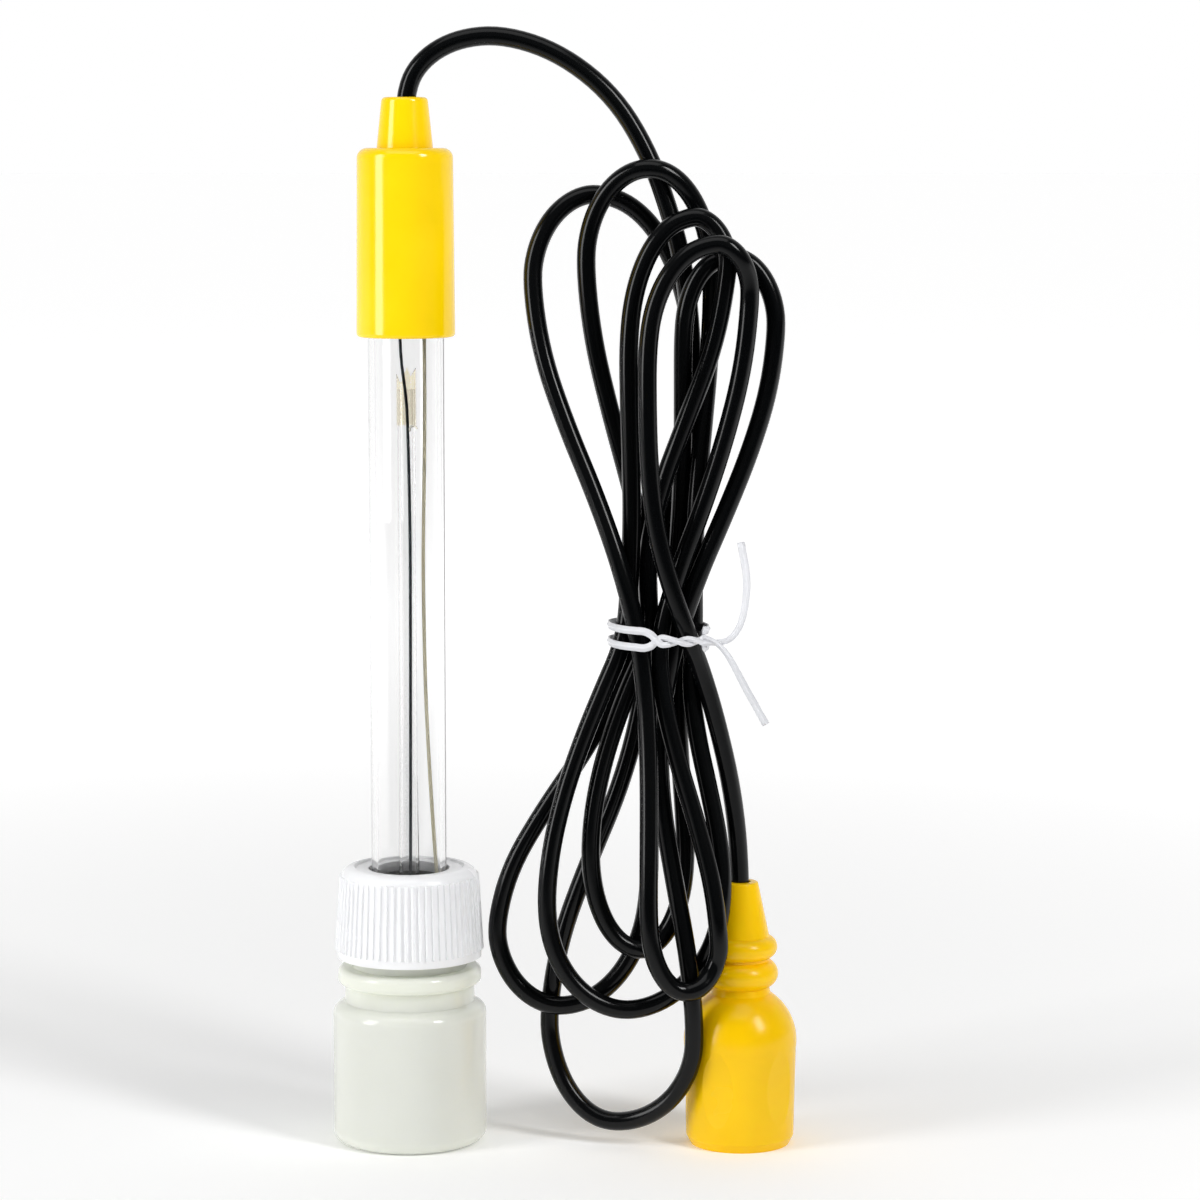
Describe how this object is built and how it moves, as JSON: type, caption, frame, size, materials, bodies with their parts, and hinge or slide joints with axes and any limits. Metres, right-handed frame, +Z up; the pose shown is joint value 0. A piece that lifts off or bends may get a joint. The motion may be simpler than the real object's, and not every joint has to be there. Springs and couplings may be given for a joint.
{
  "type": "redox electrode",
  "caption": "Glass redox electrode standing in its storage bottle, with a moulded head cap, a black cord tied in a hank and a bayonet plug in a soft boot.",
  "frame": {"origin": "centre of the storage bottle's underside", "axes": "+Z up along the glass shaft, +X from the shaft towards the hank and the plug boot"},
  "size_m": [0.0745, 0.0268, 0.1787],
  "materials": {
    "milky_plastic": "translucent, satin",
    "white_plastic": "semi-gloss",
    "dark_rubber": "satin",
    "yellow_gloss": "glossy",
    "yellow_soft": "soft satin",
    "resin": "glossy",
    "clear_glass": "clear",
    "amber_glass": "clear amber",
    "dark_wire": "satin",
    "pale_wire": "satin",
    "platinum": "bright",
    "ceramic": "matt",
    "black_cord": "satin gloss",
    "white_tie": "semi-gloss",
    "nickel": "bright nickel",
    "gold": "bright",
    "white_insulator": "matt"
  },
  "bodies": {
    "bottle": {"bottle": "milky_plastic", "seal_washer": "white_plastic"},
    "seal": {"seal_ring": "dark_rubber"},
    "cap": {"bottle_cap": "white_plastic"},
    "electrode": {"glass_body": "clear_glass", "inner_stem": "clear_glass", "stem_sleeve": "amber_glass", "stem_hook": "clear_glass", "sensor_lead": "dark_wire", "reference_wire": "pale_wire", "sensor_pin": "platinum", "junction_frit": "ceramic", "head_cap": "yellow_gloss", "potting": "resin", "cord_arch": "black_cord", "cord_hank": "black_cord", "cord_tail": "black_cord", "twist_tie": "white_tie", "plug_body": "nickel", "plug_insulator": "white_insulator", "centre_contact": "gold", "plug_gasket": "dark_rubber", "spring_washer": "nickel", "crimp_ferrule": "nickel"},
    "boot": {"plug_boot": "yellow_soft", "coupling_ring": "nickel"}
  },
  "joints": [
    {"name": "cap_lift", "type": "slide", "parent": "bottle", "child": "seal", "axis": [0, 0, 1], "range_m": [0, 0.0076]},
    {"name": "cap_turn", "type": "hinge", "parent": "seal", "child": "cap", "pos_m": [0, 0, 0.037], "axis": [0, 0, 1], "range_deg": [0, 900]},
    {"name": "electrode_lift", "type": "slide", "parent": "bottle", "child": "electrode", "axis": [0, 0, 1], "range_m": [0, 0.04]},
    {"name": "boot_turn", "type": "hinge", "parent": "electrode", "child": "boot", "pos_m": [0.0531, -0.002, 0.02], "axis": [0, 0, 1], "continuous": true}
  ],
  "couplings": [
    {"joint": "cap_lift", "follows": "cap_turn", "m_per_rad": 0.00047746}
  ]
}
